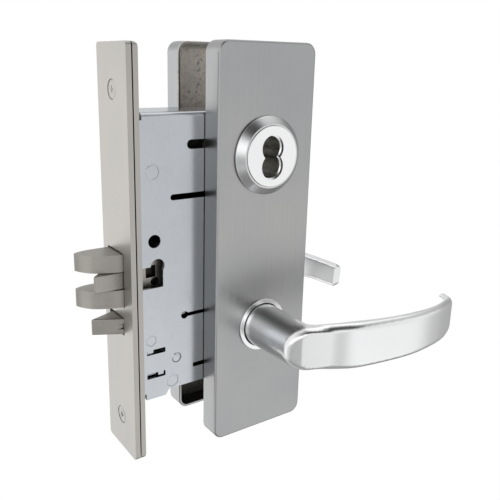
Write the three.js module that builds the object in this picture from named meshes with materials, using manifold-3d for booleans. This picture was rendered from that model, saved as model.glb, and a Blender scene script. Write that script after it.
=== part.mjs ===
// Mortise lock with lever and escutcheon trim, less-core cylinder, built as an assembly.
// Millimetres. +X runs into the door from the outer face of the front, -Y is the outside
// of the door, +Z is up. The origin is the centre of the front's outer face.
import * as THREE from 'three';
import { mergeVertices } from 'three/addons/utils/BufferGeometryUtils.js';
import Module from 'manifold-3d';

const wasm = await Module();
wasm.setup();

// ---- driving dimensions -------------------------------------------------------------

const GAP = 0.3;                 // clearance kept between separate pieces
const BACKSET = 69.85;           // front face to lever and cylinder axes
const LEVER_Z = -39.2;
const CYLINDER_Z = 50;
const LATCH_Z = -8;
const AUX_Z = -32;

const FRONT_WIDTH = 31.75;
const FRONT_HEIGHT = 203.2;
const FRONT_THICK = 2.6;
const FRONT_CORNER = 1.8;
const INNER_FRONT_START = 3.2;
const INNER_FRONT_END = 5.7;
const CASE_SEAT = 0.1;           // shallow seat for the case across the inner front's back
const CASE_SEAT_END = 76;
const FRONT_SCREW_Z = [81, -83]; // upper and lower
const DOOR_SCREW_Z = 94.5;

const CASE_FRONT = 6.1;
const CASE_BACK = 108;
const CASE_HALF_HEIGHT = 71.4;
const CASE_HALF_THICK = 12.7;
const CASE_WALL = 1.6;
const CASE_STEP = 2.9;           // the bottom edge steps up behind the front corner
const STEP_FROM = 19;
const STEP_TO = 21;

const TRIM_WIDTH = 57.15;
const TRIM_BOTTOM = -99.6;
const TRIM_TOP = 103.6;
const TRIM_FACE = 24.7;          // distance of each escutcheon's face from the centre plane
const TRIM_RIM = 13;
const TRIM_WALL = 1.6;
const TRIM_CORNER = 5.5;
const TRIM_EDGE = 1.1;
const TRIM_POST_Z = [12, -61];   // upper and lower through-bolts

const LATCH_NEAR = -7.1;
const LATCH_FAR = 9;
const LATCH_TOP = 5.2;
const LATCH_BOTTOM = -21.2;
const LATCH_BACK = 24;
const TONGUE_TOP = -3.6;
const TONGUE_BOTTOM = -12.1;
const TONGUE_PIN = [2, 3];

const NECK_RADIUS = 11.4;
const NECK_RADIUS_FAR = 10.8;
const GRIP_HALF_HEIGHT = 12.3;
const INSIDE_DROOP = 4.2;          // degrees that the inside lever hangs below level
const SPINDLE = 7.94;

const ROUND = 24;                // segments of a large circle
const SMALL_ROUND = 12;

// ---- finishes -----------------------------------------------------------------------

const finish = (color, roughness, metalness = 1) => ({ color, roughness, metalness });
const SATIN_NICKEL = finish(0xc1bcb6, 0.42);
const CAST_BOLT = finish(0xafaaa3, 0.4);
const ZINC = finish(0xbcc1c6, 0.45);
const SATIN_CHROME = finish(0xb4b7ba, 0.35);
const BRIGHT_CHROME = finish(0xdcdedf, 0.28);
const STEEL = finish(0x8d8f92, 0.4);
const SPRING_STEEL = finish(0x6c6e70, 0.35);

// ---- shape helpers ------------------------------------------------------------------

function solid(geometry) {
  geometry.deleteAttribute('normal');
  geometry.deleteAttribute('uv');
  const merged = mergeVertices(geometry, 1e-4);
  const index = merged.index.array;
  const triangles = [];
  for (let i = 0; i < index.length; i += 3) {
    const [a, b, c] = [index[i], index[i + 1], index[i + 2]];
    if (a !== b && b !== c && c !== a) triangles.push(a, b, c);
  }
  return new wasm.Manifold(new wasm.Mesh({
    numProp: 3,
    vertProperties: new Float32Array(merged.attributes.position.array),
    triVerts: new Uint32Array(triangles),
  }));
}

const join = (...parts) => parts.reduce((whole, part) => whole.add(part));
const cut = (base, ...tools) => tools.reduce((rest, tool) => rest.subtract(tool), base);

function box(x0, x1, y0, y1, z0, z1) {
  const geometry = new THREE.BoxGeometry(x1 - x0, y1 - y0, z1 - z0);
  geometry.translate((x0 + x1) / 2, (y0 + y1) / 2, (z0 + z1) / 2);
  return solid(geometry);
}

// Cylinder or cone along Y at (x, z).
function rodY(x, z, y0, y1, radius, segments = SMALL_ROUND, endRadius = radius) {
  const geometry = new THREE.CylinderGeometry(endRadius, radius, y1 - y0, segments);
  geometry.translate(x, (y0 + y1) / 2, z);
  return solid(geometry);
}

// Cylinder along X at (y, z).
function rodX(y, z, x0, x1, radius, segments = SMALL_ROUND) {
  const geometry = new THREE.CylinderGeometry(radius, radius, x1 - x0, segments);
  geometry.rotateZ(-Math.PI / 2);
  geometry.translate((x0 + x1) / 2, y, z);
  return solid(geometry);
}

// Cylinder along Z at (x, y).
function rodZ(x, y, z0, z1, radius, segments = SMALL_ROUND) {
  const geometry = new THREE.CylinderGeometry(radius, radius, z1 - z0, segments);
  geometry.rotateX(Math.PI / 2);
  geometry.translate(x, y, (z0 + z1) / 2);
  return solid(geometry);
}

// Ring or disc turned about Y at (x, z), from counter-clockwise [radius, y] points.
function turnedY(x, z, profile, segments = ROUND) {
  const points = profile.map(([radius, y]) => new THREE.Vector2(radius, y));
  if (profile[0][0] > 0) points.push(points[0].clone());
  const geometry = new THREE.LatheGeometry(points, segments);
  geometry.translate(x, 0, z);
  return solid(geometry);
}

// The same turned about X at (y, z), from [radius, x] points.
function turnedX(y, z, profile, segments = SMALL_ROUND) {
  const points = profile.map(([radius, x]) => new THREE.Vector2(radius, x));
  if (profile[0][0] > 0) points.push(points[0].clone());
  const geometry = new THREE.LatheGeometry(points, segments);
  geometry.rotateZ(-Math.PI / 2);
  geometry.translate(0, y, z);
  return solid(geometry);
}

function extruded(shape, depth, basis, offset, options = {}) {
  const settings = { depth, bevelEnabled: false, curveSegments: 6, steps: 1, ...options };
  const geometry = new THREE.ExtrudeGeometry(shape, settings);
  geometry.applyMatrix4(new THREE.Matrix4().makeBasis(...basis));
  geometry.translate(...offset);
  return solid(geometry);
}

const X = new THREE.Vector3(1, 0, 0);
const Y = new THREE.Vector3(0, 1, 0);
const Z = new THREE.Vector3(0, 0, 1);

// A (y, z) shape from x0 to x1, an (x, z) shape from y0 to y1, an (x, y) shape from z0 to z1.
const alongX = (shape, x0, x1, options) => extruded(shape, x1 - x0, [Y, Z, X], [x0, 0, 0], options);
const alongY = (shape, y0, y1, options) =>
  extruded(shape, y1 - y0, [X, Z, Y.clone().negate()], [0, y1, 0], options);
const alongZ = (shape, z0, z1, options) => extruded(shape, z1 - z0, [X, Y, Z], [0, 0, z0], options);

const polygon = (points) => new THREE.Shape(points.map(([a, b]) => new THREE.Vector2(a, b)));

function roundedRectangle(a0, a1, b0, b1, radius) {
  const shape = new THREE.Shape();
  shape.moveTo(a0 + radius, b0);
  shape.lineTo(a1 - radius, b0);
  shape.absarc(a1 - radius, b0 + radius, radius, -Math.PI / 2, 0);
  shape.lineTo(a1, b1 - radius);
  shape.absarc(a1 - radius, b1 - radius, radius, 0, Math.PI / 2);
  shape.lineTo(a0 + radius, b1);
  shape.absarc(a0 + radius, b1 - radius, radius, Math.PI / 2, Math.PI);
  shape.lineTo(a0, b0 + radius);
  shape.absarc(a0 + radius, b0 + radius, radius, Math.PI, 1.5 * Math.PI);
  return shape;
}

// ---- scene helpers ------------------------------------------------------------------

const lock = new THREE.Group();

function place(name, manifold, material) {
  const { numProp, vertProperties, triVerts } = manifold.getMesh();
  const positions = new Float32Array((vertProperties.length / numProp) * 3);
  for (let i = 0; i < positions.length / 3; i++) {
    positions.set(vertProperties.subarray(i * numProp, i * numProp + 3), i * 3);
  }
  const geometry = new THREE.BufferGeometry();
  geometry.setAttribute('position', new THREE.BufferAttribute(positions, 3));
  geometry.setIndex(new THREE.BufferAttribute(new Uint32Array(triVerts), 1));
  const mesh = new THREE.Mesh(geometry, new THREE.MeshStandardMaterial(material));
  mesh.name = name;
  lock.add(mesh);
}

// ---- front --------------------------------------------------------------------------

const LATCH_WINDOW = { y0: -7.6, y1: 10.4, z0: -21.8, z1: 5.8 };
const AUX_WINDOW = { y0: -6.2, y1: 10.6, z0: -36.6, z1: -27.3 };

function frontWindows(x0, x1, margin) {
  return [LATCH_WINDOW, AUX_WINDOW].map(({ y0, y1, z0, z1 }) =>
    box(x0, x1, y0 - margin, y1 + margin, z0 - margin, z1 + margin));
}

// A countersunk screw, its axis along X, with a cross recess; and the hole that clears it.
const SCREW_HEAD = 4.4;
const SCREW_SHANK = 2.4;
const SCREW_CONE = 2.5;

function countersunkScrew(y, z, x0, length) {
  const head = SCREW_HEAD;
  const body = turnedX(y, z, [
    [0, x0], [head, x0], [head, x0 + 0.3], [SCREW_SHANK, x0 + SCREW_CONE],
    [SCREW_SHANK, x0 + length], [0, x0 + length],
  ]);
  const recess = (dy, dz) => box(x0 - 1, x0 + 1.2, y - dy, y + dy, z - dz, z + dz);
  return cut(body, recess(2.6, 0.5), recess(0.5, 2.6));
}

function countersunkHole(y, z, x0, length) {
  const head = SCREW_HEAD + GAP;
  return turnedX(y, z, [
    [0, x0 - 1], [head, x0 - 1], [head, x0 + 0.35], [SCREW_SHANK + GAP, x0 + SCREW_CONE + 0.2],
    [SCREW_SHANK + GAP, x0 + length], [0, x0 + length],
  ]);
}

function frontPlate() {
  const half = FRONT_WIDTH / 2;
  const outline = roundedRectangle(-half, half, -FRONT_HEIGHT / 2, FRONT_HEIGHT / 2, FRONT_CORNER);
  const plate = alongX(outline, 0, FRONT_THICK, { curveSegments: 4 });
  const holes = FRONT_SCREW_Z.map((z) => countersunkHole(0, z, 0, 6));
  return cut(plate, ...frontWindows(-1, FRONT_THICK + 1, 0), ...holes);
}

// The inner front's ends are rounded over at the back, where they meet the mortise.
function innerFront() {
  const half = FRONT_WIDTH / 2;
  const end = FRONT_HEIGHT / 2;
  const thick = INNER_FRONT_END - INNER_FRONT_START;
  const plan = roundedRectangle(-half, half, -end, end, FRONT_CORNER);
  const plate = alongX(plan, INNER_FRONT_START, INNER_FRONT_END, { curveSegments: 4 });
  const side = new THREE.Shape();
  side.moveTo(INNER_FRONT_START - 1, -end - 1);
  side.lineTo(INNER_FRONT_START + 0.4, -end - 1);
  side.lineTo(INNER_FRONT_START + 0.4, -end);
  side.quadraticCurveTo(INNER_FRONT_END, -end, INNER_FRONT_END, -end + thick);
  side.lineTo(INNER_FRONT_END, end - thick);
  side.quadraticCurveTo(INNER_FRONT_END, end, INNER_FRONT_START + 0.4, end);
  side.lineTo(INNER_FRONT_START + 0.4, end + 1);
  side.lineTo(INNER_FRONT_START - 1, end + 1);
  const rounded = plate.intersect(alongY(side, -half - 1, half + 1, { curveSegments: 4 }));
  const armourHoles = FRONT_SCREW_Z.map((z) => rodX(0, z, 2, 8, SCREW_SHANK + GAP));
  const screwHoles = [1, -1].flatMap((sign) => [
    rodX(0, sign * DOOR_SCREW_Z, 2, 8, 2.6),
    rodX(0, sign * CASE_SCREW_Z, 2, 8, 3 + GAP),
  ]);
  const clampHole = rodX(SET_SCREW_Y, CYLINDER_Z, 2, 8, 3 + GAP);
  const seat = box(INNER_FRONT_END - CASE_SEAT, 8, -half - 1, half + 1, -CASE_SEAT_END, CASE_SEAT_END);
  return cut(rounded, seat, ...frontWindows(2, 8, 0.4), ...armourHoles, ...screwHoles, clampHole);
}

const CASE_SCREW_Z = 64;
const SET_SCREW_Y = -6;

function caseScrew(z) {
  return turnedX(0, z, [[0, 3.5], [3, 3.5], [3, 5.5], [1.9, 5.5], [1.9, 15], [0, 15]]);
}

// The long screw behind the front that clamps the threaded cylinder.
function cylinderSetScrew() {
  const tip = BACKSET - 15.4;
  return turnedX(SET_SCREW_Y, CYLINDER_Z, [
    [0, 3.5], [3, 3.5], [3, 5.5], [1.9, 5.5], [1.9, tip], [0, tip],
  ]);
}

// ---- case ---------------------------------------------------------------------------

function caseOutline(inset) {
  const top = CASE_HALF_HEIGHT - inset;
  return polygon([
    [CASE_FRONT + inset, -top],
    [STEP_FROM - inset / 2, -top],
    [STEP_TO - inset / 2, -top + CASE_STEP],
    [CASE_BACK - inset, -top + CASE_STEP],
    [CASE_BACK - inset, top],
    [CASE_FRONT + inset, top],
  ]);
}

// Where posts hold the case and cover together: place, size across the head, head sides.
const POSTS = [
  { name: 'case_post_front_top', x: 13.2, z: 44.3, head: 3.5, sides: 8 },
  { name: 'case_post_front_middle', x: 11.3, z: -39.6, head: 2.9, sides: 6 },
  { name: 'case_post_front_bottom', x: 23, z: -64.3, head: 3.5, sides: 6 },
  { name: 'case_rivet', x: 25.4, z: -52.1, head: 2.6, sides: 16 },
  { name: 'case_post_rear_top', x: 100, z: 62, head: 3.5, sides: 8 },
  { name: 'case_post_rear_bottom', x: 100, z: -60, head: 3.5, sides: 8 },
];
const POST_SHAFT = 0.62;

function casePost({ x, z, head, sides }) {
  const headInside = -CASE_HALF_THICK + CASE_WALL - 0.2;
  const capped = rodY(x, z, -CASE_HALF_THICK, headInside, head, sides);
  const shaft = rodY(x, z, headInside - 0.5, CASE_HALF_THICK, head * POST_SHAFT, 12);
  return join(capped, shaft);
}

// Slots and windows in the outside wall of the case, each cut right through the wall.
function wallSlot(x0, z0, x1, z1, width) {
  const length = Math.hypot(x1 - x0, z1 - z0);
  const radius = width / 2;
  const shape = new THREE.Shape();
  shape.absarc(0, 0, radius, Math.PI / 2, 1.5 * Math.PI);
  shape.absarc(length, 0, radius, -Math.PI / 2, Math.PI / 2);
  const angle = Math.atan2(z1 - z0, x1 - x0);
  const turned = new THREE.Shape(shape.getPoints(6).map((point) =>
    point.rotateAround(new THREE.Vector2(), angle).add(new THREE.Vector2(x0, z0))));
  return alongY(turned, ...WALL_REACH);
}

const WALL_REACH = [-CASE_HALF_THICK - 1, -CASE_HALF_THICK + CASE_WALL + 0.1];
const wallHole = (x, z, radius, segments) => rodY(x, z, ...WALL_REACH, radius, segments);
const wallWindow = (x0, x1, z0, z1) => box(x0, x1, ...WALL_REACH, z0, z1);

function sharedBores(y0, y1) {
  return [
    rodY(BACKSET, CYLINDER_Z, y0, y1, 15, ROUND),
    rodY(BACKSET, LEVER_Z, y0, y1, 11.5, ROUND),
    ...TRIM_POST_Z.map((z) => rodY(BACKSET, z, y0, y1, 4.6)),
  ];
}

function caseBody() {
  const outside = alongY(caseOutline(0), -CASE_HALF_THICK, CASE_HALF_THICK - CASE_WALL - 0.1);
  const inside = alongY(caseOutline(CASE_WALL), -CASE_HALF_THICK + CASE_WALL, CASE_HALF_THICK + 1);
  const windows = [
    wallHole(13.8, 11.1, 3.25),
    wallWindow(CASE_FRONT - 1, 18.2, -12.3, -1.4),
    wallHole(15.3, -1.5, 3.7),
    wallSlot(33.9, 56, 42, 56, 4.5),
    wallSlot(42, 56, 50, 53.6, 4.5),
    wallSlot(24, 31.4, 58, 31.4, 2.9),
    wallHole(30.1, -29.8, 2),
    wallSlot(30.1, -29.8, 52, -29.8, 2),
    wallWindow(8.8, 19, -47.2, -44.6),
    wallWindow(8.7, 18.9, -60.2, -57.3),
    wallWindow(35, 58, -60, -57.6),
  ];
  const postHoles = POSTS.map(({ x, z, head, sides }) => wallHole(x, z, head + GAP, sides));
  const frontOpenings = [
    ...frontWindows(CASE_FRONT - 1, CASE_FRONT + CASE_WALL + 0.1, 0.4),
    ...[1, -1].map((sign) => rodX(0, sign * CASE_SCREW_Z, 5, 10, 1.9 + GAP)),
    rodX(SET_SCREW_Y, CYLINDER_Z, 5, 10, 1.9 + GAP),
  ];
  const corners = [1, -1].map((sign) => {
    const z = sign * CASE_HALF_HEIGHT;
    return box(CASE_FRONT - 1, CASE_FRONT + 2.2, -CASE_HALF_THICK - 1, -8.5, z - 3.4, z + 3.4);
  });
  const tab = box(CASE_FRONT, CASE_FRONT + 3.4, 5, 11, CASE_HALF_HEIGHT - 1, CASE_HALF_HEIGHT + 3.6);
  const shell = cut(outside, inside, ...windows, ...postHoles, ...frontOpenings, ...corners);
  return join(cut(shell, ...sharedBores(...WALL_REACH)), tab);
}

function caseCover() {
  const y0 = CASE_HALF_THICK - CASE_WALL + 0.2;
  const plate = alongY(caseOutline(0), y0, CASE_HALF_THICK);
  const reach = [y0 - 1, CASE_HALF_THICK + 1];
  const postHoles = POSTS.map(({ x, z, head }) => rodY(x, z, ...reach, head * POST_SHAFT + GAP, 12));
  return cut(plate, ...sharedBores(...reach), ...postHoles);
}

// A flat bracket behind the outside wall, whose two tabs show in the wall's short slots.
function lowerBracket() {
  const inner = -CASE_HALF_THICK + CASE_WALL + GAP;
  return join(
    box(9.1, 18.6, inner, inner + 1.5, -60, -48.5),
    box(9.1, 12.6, inner, inner + 1.5, -49, -44.9),
    box(9.1, 12.6, -CASE_HALF_THICK + 0.4, inner + 0.5, -46.9, -44.9),
    box(15, 18.6, -CASE_HALF_THICK + 0.4, inner + 0.5, -59.7, -57.6),
    box(9.1, 10.6, -CASE_HALF_THICK + 0.4, inner + 0.5, -59.9, -58.9),
  );
}

// A wall across the case that guides the latch tail or stops the auxiliary spring.
function crossWall(x0, x1, z0, z1, hole) {
  const reach = CASE_HALF_THICK - CASE_WALL - GAP;
  const wall = box(x0, x1, -reach, reach, z0, z1);
  return hole ? cut(wall, rodX(0, LATCH_Z, x0 - 1, x1 + 1, hole)) : wall;
}

// ---- latchbolt ----------------------------------------------------------------------

const BOLT_PLAN = [
  [LATCH_BACK, LATCH_NEAR], [LATCH_BACK, LATCH_FAR], [-13.5, LATCH_FAR - 0.3],
  [-19.1, 6.3], [-13.4, -2], [0, LATCH_NEAR],
];

function latchHead() {
  const block = alongZ(polygon(BOLT_PLAN), LATCH_BOTTOM, LATCH_TOP);
  const slot = box(-25, 8.4, -10, 12, TONGUE_BOTTOM - GAP, TONGUE_TOP + GAP);
  const tailHole = rodX(0, LATCH_Z, 17.5, LATCH_BACK + 1, TAIL_RADIUS + GAP);
  const sideHole = rodY(16.4, -11, LATCH_NEAR - 1, LATCH_NEAR + 4, 2.2);
  const pocket = box(11.6, 16.9, LATCH_NEAR - 1, LATCH_NEAR + 3.6, -8.6, -2.5);
  const heel = box(20.1, LATCH_BACK + 1, LATCH_NEAR - 1, LATCH_NEAR + 2.6, LATCH_BOTTOM - 1, LATCH_TOP + 1);
  const pinHole = rodZ(...TONGUE_PIN, LATCH_BOTTOM + 2, LATCH_TOP - 2, 1.5 + GAP, 12);
  return cut(block, slot, tailHole, sideHole, pocket, heel, pinHole);
}

function antifrictionTongue() {
  const [px, py] = TONGUE_PIN;
  const outline = new THREE.Shape();
  outline.moveTo(px, py - 9.7);
  outline.absarc(px, py, 5, -0.35, Math.PI / 2);
  outline.lineTo(-4.6, 4.1);
  outline.lineTo(-14.6, -5.9);
  outline.lineTo(-13.8, -6.4);
  const body = alongZ(outline, TONGUE_BOTTOM, TONGUE_TOP);
  return cut(body, rodZ(px, py, TONGUE_BOTTOM - 1, TONGUE_TOP + 1, 1.5 + GAP, 12));
}

const antifrictionPin = () => rodZ(...TONGUE_PIN, LATCH_BOTTOM + 2.3, LATCH_TOP - 2.3, 1.5, 12);

const TAIL_RADIUS = 3;
const YOKE_X = [57, 77];

// The tail rod ends in a yoke whose two cheeks straddle the retractor's arm.
function latchTail() {
  const [x0, x1] = YOKE_X;
  const cheek = (y0, y1) => box(x0, x1, y0, y1, -17, -4);
  return join(
    rodX(0, LATCH_Z, 18, x0 + 1, TAIL_RADIUS),
    box(x0, x0 + 2.5, -6, 6, -13, -4),
    cheek(-6, -3.4),
    cheek(3.4, 6),
  );
}

const coilSleeve = (y, z, x0, x1, inner, outer) =>
  turnedX(y, z, [[inner, x0], [outer, x0], [outer, x1], [inner, x1]]);

// ---- auxiliary latch and deadlock ---------------------------------------------------

const AUX_BODY_END = 10;
const AUX_TAIL_END = 30;

function auxLatch() {
  const plan = polygon([
    [AUX_BODY_END, -5.6], [AUX_BODY_END, 7], [0, 7], [-1.7, 6.4], [-13.8, 1.5], [0, -5.6],
  ]);
  const head = alongZ(plan, -36, -27.8);
  const notch = box(-2, 3, -7, -4.9, -33, -31);
  const tail = box(AUX_BODY_END - 1, AUX_TAIL_END, -2.5, 3.5, -35, -29);
  return join(cut(head, notch), tail);
}

const DEADLOCK_PIVOT = [46, -24.6];

// A flat lever against the outside wall: pressing the auxiliary latch lifts its nose.
function deadlockLever() {
  const [px, pz] = DEADLOCK_PIVOT;
  const arm = polygon([
    [px - 19, pz - 5.4], [px - 15, pz - 5.4], [px - 13, pz - 3], [px, pz - 4],
    [px + 4, pz - 1], [px + 3, pz + 3], [px - 2, pz + 4], [px - 19, pz - 1.4],
  ]);
  const y0 = -CASE_HALF_THICK + CASE_WALL + GAP;
  return cut(alongY(arm, y0, y0 + 2.4), rodY(px, pz, y0 - 1, y0 + 4, 2 + GAP, 12));
}

function deadlockPivot() {
  const reach = CASE_HALF_THICK - CASE_WALL - GAP;
  return rodY(...DEADLOCK_PIVOT, -reach, reach, 2, 12);
}

// ---- hubs and retractor -------------------------------------------------------------

const HUB_RADIUS = 11;
const HUB_FACES = [3.5, 10.6];

function hub(side, droop = 0) {
  const [y0, y1] = side < 0 ? [-HUB_FACES[1], -HUB_FACES[0]] : HUB_FACES;
  const ear = polygon([[8, -3], [15, -3.2], [15, 3.2], [8, 3]]);
  const dog = polygon([[-3.2, 8], [3.2, 8], [2.4, 16], [-2.4, 16]]);
  const half = SPINDLE / 2 + GAP;
  const body = join(rodY(0, 0, y0, y1, HUB_RADIUS, 24), alongY(ear, y0, y1), alongY(dog, y0, y1));
  const bored = cut(body, box(-half, half, y0 - 1, y1 + 1, -half, half));
  return onLeverAxis(bored, droop);
}

function onLeverAxis(manifold, droop) {
  return manifold.rotate([0, droop, 0]).translate([BACKSET, 0, LEVER_Z]);
}

// The retractor turns on the hubs' axis between them; its arm pulls the latch tail back.
function retractor() {
  const arm = new THREE.Shape();
  arm.moveTo(-5, 8);
  arm.lineTo(5, 8);
  arm.lineTo(3.5, 24);
  arm.absarc(0, 24, 3.5, 0, Math.PI);
  const body = join(rodY(0, 0, -3, 3, HUB_RADIUS - 0.5, 24), alongY(arm, -3, 3));
  return onLeverAxis(cut(body, rodY(0, 0, -4, 4, 6, 24)), 0);
}

// ---- cylinder -----------------------------------------------------------------------

const CYLINDER_RADIUS = 14.6;
const CYLINDER_FACE = -29.5;
const CYLINDER_END = -1.4;
const CORE_RADIUS = 6.4;
const CORE_LOBES = [3.9, -5.0];  // lobe centres above and below the cylinder's axis
const CORE_FLOOR = -5;

function trimRing() {
  return turnedY(BACKSET, CYLINDER_Z, [
    [CYLINDER_RADIUS + GAP, -28.9], [15.7, -28.9], [19.25, -25.9],
    [19.25, -TRIM_FACE - GAP], [CYLINDER_RADIUS + GAP, -TRIM_FACE - GAP],
  ]);
}

function cylinderHousing() {
  const body = turnedY(BACKSET, CYLINDER_Z, [
    [0, CYLINDER_FACE], [CYLINDER_RADIUS - 0.5, CYLINDER_FACE], [CYLINDER_RADIUS, CYLINDER_FACE + 0.5],
    [CYLINDER_RADIUS, CYLINDER_END], [0, CYLINDER_END],
  ]);
  const lobes = CORE_LOBES.map((dz) =>
    rodY(BACKSET, CYLINDER_Z + dz, CYLINDER_FACE - 1, CORE_FLOOR, CORE_RADIUS, 24));
  const prongHoles = [-2.6, 2.6].map((dx) =>
    rodY(BACKSET + dx, CYLINDER_Z + CORE_LOBES[0], CORE_FLOOR - 1, CYLINDER_END + 1, 1.6, 12));
  return cut(body, ...lobes, ...prongHoles);
}

const CAM_FACES = [CYLINDER_END + GAP, CYLINDER_END + GAP + 2.4];
const CAM_SCREW_X = [-5.6, 5.6];

function cylinderCam() {
  const lobe = new THREE.Shape();
  lobe.moveTo(4.5, 0);
  lobe.lineTo(-4.5, 0);
  lobe.lineTo(-3, -13);
  lobe.absarc(0, -13, 3, Math.PI, 2 * Math.PI);
  const body = join(rodY(0, 0, ...CAM_FACES, 9, 24), alongY(lobe, ...CAM_FACES));
  const holes = CAM_SCREW_X.map((x) => rodY(x, 0, CAM_FACES[0] - 1, CAM_FACES[1] + 1, 1.5, 12));
  return cut(body, ...holes).translate([BACKSET, 0, CYLINDER_Z]);
}

function camScrew(dx) {
  const [y0, y1] = CAM_FACES;
  return turnedY(BACKSET + dx, CYLINDER_Z, [
    [0, y0 + 0.2], [1.2, y0 + 0.2], [1.2, y1 + GAP], [2.4, y1 + GAP], [2.4, y1 + 1.6], [0, y1 + 1.6],
  ], 12);
}

// The slide that the key moves down beside the outside hub.
function lockSlide() {
  const [y0, y1] = [-10.5, -6.5];
  return join(
    box(64, 90, y0, y1, 28, 31.5),
    box(86, 90, y0, y1, -29.4, 31.5),
    box(83.5, 90, y0, y1, -29.4, -25),
  );
}

// ---- escutcheons --------------------------------------------------------------------

function escutcheon(side, holes) {
  const x0 = BACKSET - TRIM_WIDTH / 2;
  const x1 = BACKSET + TRIM_WIDTH / 2;
  const edge = { bevelEnabled: true, bevelSize: TRIM_EDGE, bevelThickness: TRIM_EDGE, bevelSegments: 2,
    bevelOffset: -TRIM_EDGE, curveSegments: 5 };
  const outline = roundedRectangle(x0, x1, TRIM_BOTTOM, TRIM_TOP, TRIM_CORNER);
  const hollow = roundedRectangle(x0 + TRIM_WALL, x1 - TRIM_WALL, TRIM_BOTTOM + TRIM_WALL,
    TRIM_TOP - TRIM_WALL, TRIM_CORNER - TRIM_WALL);
  const inside = TRIM_FACE - TRIM_WALL;
  const [outer, inner, cap] = side < 0
    ? [alongY(outline, -TRIM_FACE + TRIM_EDGE, -5, edge), alongY(hollow, -inside, 0),
      box(x0 - 5, x1 + 5, -TRIM_RIM, 0, TRIM_BOTTOM - 5, TRIM_TOP + 5)]
    : [alongY(outline, 5, TRIM_FACE - TRIM_EDGE, edge), alongY(hollow, 0, inside),
      box(x0 - 5, x1 + 5, 0, TRIM_RIM, TRIM_BOTTOM - 5, TRIM_TOP + 5)];
  return cut(outer, inner, cap, ...holes);
}

const BUSHING_BORE = NECK_RADIUS + 0.4;
const BUSHING_SLEEVE = 12.9;

const faceReach = (side) => (side < 0 ? [-TRIM_FACE - 2, -TRIM_RIM] : [TRIM_RIM, TRIM_FACE + 2]);

function outsideEscutcheon() {
  const reach = faceReach(-1);
  return escutcheon(-1, [
    rodY(BACKSET, CYLINDER_Z, ...reach, CYLINDER_RADIUS + 0.4, ROUND),
    rodY(BACKSET, LEVER_Z, ...reach, BUSHING_SLEEVE + GAP, ROUND),
  ]);
}

function insideEscutcheon() {
  const reach = faceReach(1);
  return escutcheon(1, [
    rodY(BACKSET, LEVER_Z, ...reach, BUSHING_SLEEVE + GAP, ROUND),
    ...TRIM_POST_Z.map((z) => rodY(BACKSET, z, ...reach, 2.7)),
  ]);
}

// Profiles are drawn for the inside; the outside's are the same, mirrored in the door.
function mirroredY(x, z, profile, side, segments) {
  const points = side < 0 ? profile.map(([radius, y]) => [radius, -y]).reverse() : profile;
  return turnedY(x, z, points, segments);
}

function leverBushing(side) {
  return mirroredY(BACKSET, LEVER_Z, [
    [BUSHING_BORE, 15.5], [BUSHING_SLEEVE, 15.5], [BUSHING_SLEEVE, TRIM_FACE + GAP],
    [14.2, TRIM_FACE + GAP], [14.2, 26], [13.6, 26.6], [BUSHING_BORE, 26.6],
  ], side, ROUND);
}

function returnSpring(side) {
  return mirroredY(BACKSET, LEVER_Z, [[13.2, 16], [16, 16], [16, 21.5], [13.2, 21.5]], side, 24);
}

function trimPost(z) {
  const face = -TRIM_FACE + TRIM_WALL + GAP;
  const body = join(rodY(BACKSET, z, face, 12, 4), rodY(BACKSET, z, face, face + 1.2, 6.5));
  return cut(body, rodY(BACKSET, z, 1, 13, 2.3 + GAP, 12));
}

function trimScrew(z) {
  const seat = TRIM_FACE + GAP;
  const body = turnedY(BACKSET, z, [
    [0, 3], [2.3, 3], [2.3, seat], [4.6, seat], [4.6, seat + 0.9], [3.2, seat + 2], [0, seat + 2],
  ], SMALL_ROUND);
  const recess = (dx, dz) =>
    box(BACKSET - dx, BACKSET + dx, seat + 0.9, seat + 3, z - dz, z + dz);
  return cut(body, recess(2.4, 0.45), recess(0.45, 2.4));
}

// ---- levers -------------------------------------------------------------------------

// Plan of the grip as [distance along the lever, distance from the door's centre plane].
const GRIP_FRONT = [[-14, 57], [-3.8, 62.2], [10, 67.5], [26, 73.8], [55, 78.6], [77, 77.3], [92, 73]];
const GRIP_FRONT_AT_NECK = GRIP_FRONT.slice(0, 4);
const GRIP_BACK = [[86, 70.5], [69, 73], [44, 71], [20, 64.6], [8, 58.6], [0, 54]];
const SHORT_TIP = [[101, 67.2], [106.2, 58.5], [102.3, 57.2], [97.6, 65.3]];
const LONG_TIP = [[101.5, 65.8], [106.4, 50], [107.9, 28.4], [102.3, 28], [100.4, 50], [95.8, 63.8]];
// Half the grip's height along its length. It starts inside the neck and swells out of it.
const GRIP_SIDE = [[0, 9.3], [4, 10.4], [8, 11.6], [12, 12], [20, 12.2], [60, 11.5], [88, 11], [98, 9.4],
  [106, 7.8], [120, 7]];

const GRIP_DETAIL = 18;

function gripPlan(tip) {
  const points = (list) => list.map(([along, away]) => new THREE.Vector2(along, away));
  const ends = tip.length / 2;
  const front = new THREE.SplineCurve(points([...GRIP_FRONT, ...tip.slice(0, ends)]));
  const back = new THREE.SplineCurve(points([...tip.slice(ends), ...GRIP_BACK]));
  return new THREE.Shape([...front.getPoints(GRIP_DETAIL), ...back.getPoints(GRIP_DETAIL)].reverse());
}

// What lies between the door and the grip's front face, over the width of the neck.
function behindGripFront() {
  const points = GRIP_FRONT_AT_NECK.map(([along, away]) => new THREE.Vector2(along, away));
  const front = new THREE.SplineCurve(points).getPoints(GRIP_DETAIL);
  const [first, last] = [front[0], front[front.length - 1]];
  const foot = [new THREE.Vector2(last.x, 10), new THREE.Vector2(first.x, 10)];
  return new THREE.Shape([...front, ...foot].reverse());
}

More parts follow.
